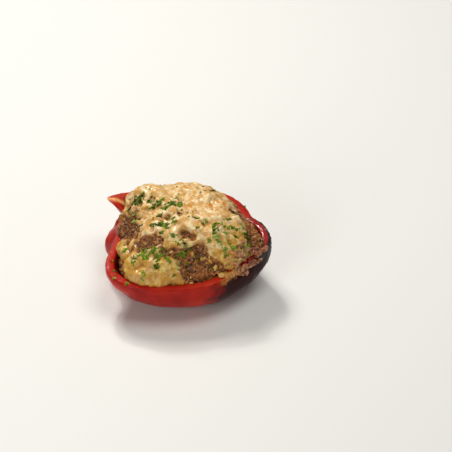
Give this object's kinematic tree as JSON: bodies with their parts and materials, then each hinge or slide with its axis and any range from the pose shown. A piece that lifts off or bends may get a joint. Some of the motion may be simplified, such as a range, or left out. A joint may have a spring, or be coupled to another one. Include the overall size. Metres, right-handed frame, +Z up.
{
  "type": "stuffed bell pepper",
  "caption": "Baked half of a red bell pepper, lying on its skin, heaped with minced meat under melted cheese.",
  "frame": {"origin": "on the surface that the pepper stands on, below the middle of its box", "axes": "+X from the blossom end with its toes to the stem end, +Y to the side where the cut rim is highest, +Z up"},
  "size_m": [0.0956, 0.0838, 0.0524],
  "materials": {
    "pepper_flesh": "wet, glossy baked pepper skin and flesh",
    "minced_meat": "crumbly browned meat with a little fat shine",
    "melted_cheese": "oily melted cheese, cream to golden"
  },
  "bodies": {
    "root": {"pepper_half": "pepper_flesh", "meat_filling": "minced_meat", "melted_cheese": "melted_cheese"}
  },
  "joints": []
}
